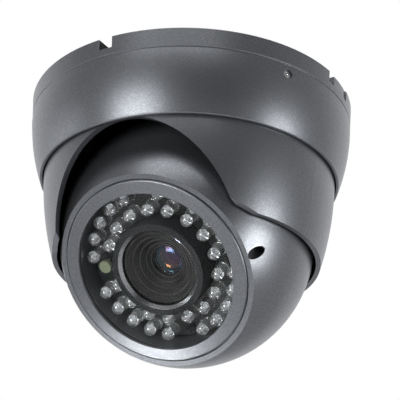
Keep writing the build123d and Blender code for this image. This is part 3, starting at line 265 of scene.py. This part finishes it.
def turned_black(name, grey, roughness):
    """Black anodised aluminium with the fine grooves that stop stray light."""
    m = Material(name)
    height, distance = m.from_axis(ball_centre, lens_dir)
    along = m.math("SUBTRACT", height, distance)
    grooves = m.math("SINE", m.math("MULTIPLY", along, 2 * pi / GROOVE_PITCH))
    m.drive("Base Color", m.ramp(m.noise(250, 3), [(0.3, grey * 0.8), (0.7, grey * 1.2)]))
    m.drive("Roughness", m.ramp(m.noise(700, 2), [(0.3, roughness - 0.05), (0.7, roughness + 0.05)]))
    m.bump(grooves, 0.03 * MM, 0.5)
    return m.set(Metallic=0.2, Specular_IOR_Level=0.25).material


def image_chip():
    """Image sensor: a pixel field with a faint green and violet sheen."""
    m = Material("image_chip")
    pixels = m.node("ShaderNodeTexVoronoi", {"Vector": m.place, "Scale": 3000.0}).outputs["Distance"]
    m.drive("Base Color", m.ramp(pixels, [(0.2, (0.05, 0.07, 0.06)), (0.6, (0.10, 0.08, 0.13))]))
    m.drive("Roughness", m.ramp(pixels, [(0.2, 0.1), (0.6, 0.25)]))
    return m.set(Metallic=0.4, Coat_Weight=1.0, Coat_Roughness=0.02).material


def gunmetal_paint():
    """Paint on the cover, the turret, the ball, its bezel and the entry plug."""
    return metallic_paint("gunmetal_paint")


def housing_paint_painted_shade():
    """The same paint on the base, with painted shade on its faces inside the outer wall, such as the notch walls.
    """
    return metallic_paint("housing_paint_painted_shade", SHADE_INSIDE_R)


def stainless():
    """Bright steel of the screws and the lens rings' levers."""
    return brushed_metal("stainless", (0.72, 0.72, 0.72), (0.88, 0.88, 0.87), 0.24)


def blackened_screws():
    """Blackened screws that do not show against the LED board."""
    return brushed_metal("blackened_screws", (0.02, 0.02, 0.022), (0.045, 0.046, 0.05), 0.42)


def zinc_steel():
    """Zinc plate on the pressed yoke, its colour darkened as painted shade between the turret and the ball."""
    return brushed_metal("zinc_steel", (0.09, 0.094, 0.10), (0.15, 0.155, 0.165), 0.45)


def can_metal():
    """Aluminium cans of the capacitors, with marks that run round the lens axis."""
    turning = (ball_centre, lens_dir)
    return brushed_metal("can_metal", (0.50, 0.52, 0.56), (0.64, 0.66, 0.70), 0.3, turning)


def brass_post():
    """Brass spacers between the boards."""
    return brushed_metal("brass_post", (0.60, 0.44, 0.20), (0.78, 0.60, 0.30), 0.32)


def lead_silver():
    """Silver-plated lead frames inside the LEDs."""
    return brushed_metal("lead_silver", (0.82, 0.83, 0.84), (0.94, 0.94, 0.94), 0.18)


def nylon():
    """Natural nylon of the rings and washers that slide."""
    return moulded("nylon", (0.62, 0.61, 0.56), (0.72, 0.71, 0.66), 0.5)


def rubber_black():
    """Black rubber of the seals and cable glands."""
    return moulded("rubber_black", (0.014, 0.014, 0.015), (0.026, 0.026, 0.028), 0.75)


def connector_white():
    """Off-white plastic of the board connectors."""
    return moulded("connector_white", (0.66, 0.65, 0.60), (0.76, 0.75, 0.70), 0.45)


def die_grey():
    """The LEDs' dark dies."""
    return moulded("die_grey", (0.02, 0.02, 0.025), (0.05, 0.05, 0.06), 0.3)


def floor_white():
    """Matt white studio floor."""
    return moulded("studio_floor", (0.78, 0.78, 0.78), (0.82, 0.82, 0.82), 0.7, 40.0, 0.5 * MM)


def lens_black():
    """The lens barrel."""
    return turned_black("lens_black", 0.016, 0.5)


def ring_black():
    """The focus and zoom rings."""
    return turned_black("ring_black", 0.05, 0.38)


def window_glass():
    """Flat front window; its low index keeps reflections faint."""
    return clear_glass("window_glass", 1.15, (0.97, 0.985, 0.98), 0.01)


def coated_glass():
    """Lens elements with a thin coating that tints what they reflect."""
    tint = (0.93, 0.90, 0.97)
    return clear_glass("coated_glass", 1.6, tint, 0.01, Thin_Film_Thickness=285.0, Thin_Film_IOR=1.38)


def led_epoxy():
    """Clear epoxy of the LEDs, with a bright skin."""
    skin = {"Specular_IOR_Level": 1.0, "Coat_Weight": 1.0, "Coat_IOR": 1.8}
    return clear_glass("led_epoxy", 1.5, (0.90, 0.92, 0.94), 0.08, Transmission_Weight=0.9, **skin)


# ---------------------------------------------------------------- finishes by the record's slots
finishes = {
    "body_paint": gunmetal_paint(),
    "stainless": stainless(),
    "zinc_steel": zinc_steel(),
    "can_metal": can_metal(),
    "brass_post": brass_post(),
    "nylon": nylon(),
    "rubber_black": rubber_black(),
    "connector_white": connector_white(),
    "shroud_black": shroud_plastic(),
    "lens_black": lens_black(),
    "ring_black": ring_black(),
    "board": solder_mask(),
    "photocell_face": photocell_face(),
    "sensor_chip": image_chip(),
    "window_glass": window_glass(),
    "lens_glass": coated_glass(),
    "led_epoxy": led_epoxy(),
}
for part in frame["record"]["subparts"]:
    node = nodes[part["node"]]
    for place in node.material_slots:
        place.material = finishes[part["material_slot"]]

# the base's paint, with painted shade inside its outer wall
nodes["base_housing"].material_slots[0].material = housing_paint_painted_shade()
nodes["led_board_screws"].material_slots[0].material = blackened_screws()

for node in ("front_glass", "front_element"):
    nodes[node].visible_shadow = False

# ---------------------------------------------------------------- LEDs
MERGE_DISTANCE = 1e-7
LED_SEGMENTS = 40
DOME_STEPS = 12
CUP_SEGMENTS = 24
CUP_H = 3.9 * MM             # the reflector cup's floor over the board
CUP_X = 0.25 * MM
CUP_PROFILE = [(0.0, 0.0), (0.5, 0.0), (1.15, 0.8), (1.3, 0.8), (1.3, 0.3), (0.6, -0.5), (0.0, -0.5)]
DIE_SIDE = 0.6 * MM
DIE_FOOT = 0.02 * MM
DIE_TOP = 0.18 * MM
LEAD_W = 0.5 * MM
LEAD_X = 1.27 * MM           # half the spacing of an LED's two leads
LEAD_FOOT = 0.15 * MM
CUP_LEAD_X = LEAD_X * 0.45   # the lead under the cup
CUP_LEAD_TOP = CUP_H - 0.4 * MM
TAB_TOP = CUP_H + 0.5 * MM   # the other lead ends in a tab beside the cup
FLANGE_T = 1.0 * MM
CORNER = 0.08 * MM
TAPER = 0.02 * MM
FLAT_OUT = 0.05 * MM         # the flat on the flange stands this far off the body
SKIRT_SHARE = 0.2            # share of the height that the flange takes at most


def islands(obj):
    """The separate pieces of a mesh, each as a list of points."""
    mesh = bmesh.new()
    mesh.from_mesh(obj.data)
    bmesh.ops.remove_doubles(mesh, verts=mesh.verts, dist=MERGE_DISTANCE)
    seen = set()
    found = []
    for start in mesh.verts:
        if start in seen:
            continue
        seen.add(start)
        piece = [start]
        for vertex in piece:
            for edge in vertex.link_edges:
                other = edge.other_vert(vertex)
                if other not in seen:
                    seen.add(other)
                    piece.append(other)
        found.append([vertex.co.copy() for vertex in piece])
    mesh.free()
    return found


def centre_of(points):
    """Mean of the points, summed exactly so that their order makes no difference."""
    return Vector([fsum(values) / len(points) for values in zip(*points)])


def led_seats(node):
    """For each LED: a frame at its base with Z along the lens axis, its height and two radii."""
    seats = []
    for points in islands(nodes[node]):
        low = min(height_of(point) for point in points)
        high = max(height_of(point) for point in points)
        base = centre_of(points)
        base += lens_dir * (low - height_of(base))
        above_flange = [point for point in points if height_of(point) - low > (high - low) * SKIRT_SHARE]
        radius = max((point - base).cross(lens_dir).length for point in above_flange)
        flange = max((point - base).cross(lens_dir).length for point in points)
        out = base - ball_centre
        out -= lens_dir * out.dot(lens_dir)
        x = out.normalized()
        turn = Matrix((x, lens_dir.cross(x), lens_dir)).transposed().to_4x4()
        seats.append((Matrix.Translation(base) @ turn, high - low, radius, flange))
    return sorted(seats, key=lambda seat: (round(seat[0].translation.x, 5), round(seat[0].translation.z, 5)))


def lathe(mesh, profile, segments, seat, flat_x=None):
    """Turns a profile of (radius, height) points about the seat's Z; flat_x cuts a flat on one side."""
    rings = []
    for radius, height in profile:
        if radius < 1e-9:
            rings.append([mesh.verts.new(seat @ Vector((0, 0, height)))])
            continue
        ring = []
        for i in range(segments):
            angle = 2 * pi * i / segments
            x, y = radius * cos(angle), radius * sin(angle)
            if flat_x is not None:
                x = max(x, -flat_x)
            ring.append(mesh.verts.new(seat @ Vector((x, y, height))))
        rings.append(ring)
    for low, high in zip(rings, rings[1:]):
        for i in range(segments):
            j = (i + 1) % segments
            if len(low) == 1 and len(high) == 1:
                continue
            if len(low) == 1:
                corners = (low[0], high[j], high[i])
            elif len(high) == 1:
                corners = (low[i], low[j], high[0])
            else:
                corners = (low[i], low[j], high[j], high[i])
            mesh.faces.new(corners).smooth = True


def block(mesh, seat, low, high):
    """Box between two corners in the seat's frame."""
    made = bmesh.ops.create_cube(mesh, size=1.0)
    middle, size = (low + high) / 2, high - low
    place = seat @ Matrix.Translation(middle) @ Matrix.Diagonal((*size, 1))
    bmesh.ops.transform(mesh, matrix=place, verts=made["verts"])


def finish_mesh(mesh, name, material, body, sharp_degrees=35.0):
    """Makes an object from a bmesh, keeps its sharp edges sharp and puts it on its body."""
    bmesh.ops.recalc_face_normals(mesh, faces=mesh.faces)
    for edge in mesh.edges:
        if len(edge.link_faces) == 2 and edge.calc_face_angle(0.0) > radians(sharp_degrees):
            edge.smooth = False
    data = bpy.data.meshes.new(name)
    mesh.to_mesh(data)
    mesh.free()
    piece = bpy.data.objects.new(name, data)
    bpy.context.scene.collection.objects.link(piece)
    data.materials.append(material)
    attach(piece, body)
    return piece


def epoxy_profile(height, radius, flange):
    """Outline of a round LED: flange, slightly tapered body and domed tip."""
    body = radius - TAPER
    dome_base = height - body
    points = [
        (0.0, 0.0),
        (flange - CORNER, 0.0),
        (flange, CORNER),
        (flange, FLANGE_T - CORNER),
        (flange - CORNER, FLANGE_T),
        (radius + CORNER, FLANGE_T),
        (radius, FLANGE_T + CORNER),
        (body, dome_base),
    ]
    for step in range(1, DOME_STEPS):
        angle = pi / 2 * step / DOME_STEPS
        points.append((body * cos(angle), dome_base + body * sin(angle)))
    points.append((0.0, height))
    return points


def add_leadframe(mesh, seat, cup_seat):
    """Reflector cup on its lead, and the other lead with its tab."""
    lathe(mesh, [(radius * MM, height * MM) for radius, height in CUP_PROFILE], CUP_SEGMENTS, cup_seat)
    half = LEAD_W / 2
    for x, top in ((CUP_LEAD_X, CUP_LEAD_TOP), (-LEAD_X, TAB_TOP)):
        block(mesh, seat, Vector((x - half, -half, LEAD_FOOT)), Vector((x + half, half, top)))
    block(mesh, seat, Vector((-LEAD_X - LEAD_W, -half, CUP_H)), Vector((-LEAD_X + LEAD_W, half, TAB_TOP)))


def add_die(mesh, cup_seat):
    """The square die on the cup's floor."""
    half = DIE_SIDE / 2
    block(mesh, cup_seat, Vector((-half, -half, DIE_FOOT)), Vector((half, half, DIE_TOP)))


def make_leds(node, label, silver, grey):
    """Redraws a node's LEDs with clear bodies, lead frames and dies."""
    epoxy, frames, dies = bmesh.new(), bmesh.new(), bmesh.new()
    for seat, height, radius, flange in led_seats(node):
        cup_seat = seat @ Matrix.Translation((CUP_X, 0, CUP_H))
        lathe(epoxy, epoxy_profile(height, radius, flange), LED_SEGMENTS, seat, flat_x=radius + FLAT_OUT)
        add_leadframe(frames, seat, cup_seat)
        add_die(dies, cup_seat)
    body = finish_mesh(epoxy, label + "_epoxy", finishes["led_epoxy"], "ball", 50.0)
    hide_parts(node)
    body.visible_shadow = False
    finish_mesh(frames, label + "_leadframes", silver, "ball")
    finish_mesh(dies, label + "_dies", grey, "ball")


led_materials = (lead_silver(), die_grey())
make_leds("leds_outer", "outer_leds", *led_materials)
make_leds("leds_inner", "inner_leds", *led_materials)

# ---------------------------------------------------------------- camera
AZIMUTH = 32.65              # from the lens side, towards +X
ELEVATION = -27.0            # the camera looks up
ROLL = 1.95
DISTANCE = 0.905
AIM = Vector((0, 0, -0.040))
OFFSET_RIGHT = -0.00454
OFFSET_ABOVE = 0.00125
LENS = 202.8                 # focal length for a sensor 36 mm wide

back = direction(AZIMUTH, ELEVATION)
level = direction(AZIMUTH + 90, 0)
upward = back.cross(level)
right = level * cos(radians(ROLL)) + upward * sin(radians(ROLL))
above = upward * cos(radians(ROLL)) - level * sin(radians(ROLL))
camera_data = bpy.data.cameras.new("camera")
camera_data.lens = LENS
camera_data.sensor_width = 36.0
camera_data.clip_start = 0.01
camera = bpy.data.objects.new("camera", camera_data)
bpy.context.scene.collection.objects.link(camera)
spot = AIM - right * OFFSET_RIGHT - above * OFFSET_ABOVE + back * DISTANCE
camera.matrix_world = Matrix.Translation(spot) @ Matrix((right, above, back)).transposed().to_4x4()
bpy.context.scene.camera = camera

# ---------------------------------------------------------------- studio
FLOOR_Z = -1.3
FLOOR_SIZE = 6.0
MIDDLE = Vector((0, 0, -0.05))
BEZEL_R = 36 * MM            # middle of the bezel's face
BEZEL_H = 31 * MM
BEZEL_LOW_ANGLE = 60         # how far the lit place is below the bezel's left end, in degrees


def softbox(name, target, azimuth, elevation, distance, size, power, spread=180):
    """Area light aimed at a point from a direction; spread is the angle of its beam in degrees."""
    light = bpy.data.lights.new(name, "AREA")
    light.shape = "RECTANGLE"
    light.size, light.size_y = size
    light.energy = power
    light.spread = radians(spread)
    lamp = bpy.data.objects.new(name, light)
    bpy.context.scene.collection.objects.link(lamp)
    out = direction(azimuth, elevation)
    turn = out.to_track_quat("Z", "Y").to_matrix().to_4x4()
    lamp.matrix_world = Matrix.Translation(target + out * distance) @ turn


def add_floor():
    """A plain floor far below the part, and not part of it."""
    grid = bmesh.new()
    bmesh.ops.create_grid(grid, x_segments=8, y_segments=8, size=FLOOR_SIZE)
    data = bpy.data.meshes.new("floor")
    grid.to_mesh(data)
    grid.free()
    data.materials.append(floor_white())
    floor = bpy.data.objects.new("floor", data)
    floor.location = (0, 0, FLOOR_Z)
    bpy.context.scene.collection.objects.link(floor)


def studio_lights():
    """Two keys, fills from the left, above and below, and a small lamp on the bezel's lower edge."""
    angle = radians(BEZEL_LOW_ANGLE)
    outward = -face_x * cos(angle) - face_y * sin(angle)
    bezel_low = ball_centre + lens_dir * BEZEL_H + outward * BEZEL_R
    softbox("key_left", MIDDLE, -6, -12, 0.9, (0.45, 0.55), 5.4)
    softbox("key_right", MIDDLE, 98, -14, 0.8, (0.28, 0.36), 3.7)
    softbox("side_left", MIDDLE, -66, -6, 0.9, (0.6, 0.6), 1.3)
    softbox("overhead", MIDDLE, 20, 60, 1.2, (1.2, 1.2), 12.0)
    softbox("front_low", MIDDLE, -10, -55, 1.0, (0.9, 0.9), 0.5)
    softbox("low_left", bezel_low, -78, -55, 0.17, (0.06, 0.06), 0.0055, 34)


def studio_world():
    """White to the camera; other rays see it white behind the part and dark where the camera stands."""
    world = bpy.data.worlds.new("studio")
    world.use_nodes = True
    tree = world.node_tree
    tree.nodes.clear()
    add = tree.nodes.new
    link = tree.links.new
    facing = add("ShaderNodeVectorMath")
    facing.operation = "DOT_PRODUCT"
    facing.inputs[1].default_value = -back
    link(add("ShaderNodeTexCoord").outputs["Generated"], facing.inputs[0])
    share = add("ShaderNodeMapRange")
    share.inputs["From Min"].default_value = -1.0
    link(facing.outputs["Value"], share.inputs["Value"])
    ramp = add("ShaderNodeValToRGB")
    link(share.outputs[0], ramp.inputs["Fac"])
    for position, grey in ((0.10, 0.02), (0.40, 0.24), (0.60, 0.36), (0.85, 0.95)):
        element = ramp.color_ramp.elements.new(position)
        element.color = (grey, grey, grey * 1.02, 1)
    ramp.color_ramp.elements.remove(ramp.color_ramp.elements[0])
    ramp.color_ramp.elements.remove(ramp.color_ramp.elements[-1])
    surround, backdrop = add("ShaderNodeBackground"), add("ShaderNodeBackground")
    link(ramp.outputs["Color"], surround.inputs["Color"])
    backdrop.inputs["Color"].default_value = (1, 1, 1, 1)
    choose = add("ShaderNodeMixShader")
    link(add("ShaderNodeLightPath").outputs["Is Camera Ray"], choose.inputs[0])
    link(surround.outputs[0], choose.inputs[1])
    link(backdrop.outputs[0], choose.inputs[2])
    link(choose.outputs[0], add("ShaderNodeOutputWorld").inputs["Surface"])
    return world


studio_lights()
add_floor()

scene = bpy.context.scene
scene.world = studio_world()
scene.view_settings.view_transform = "Standard"
scene.cycles.use_denoising = True
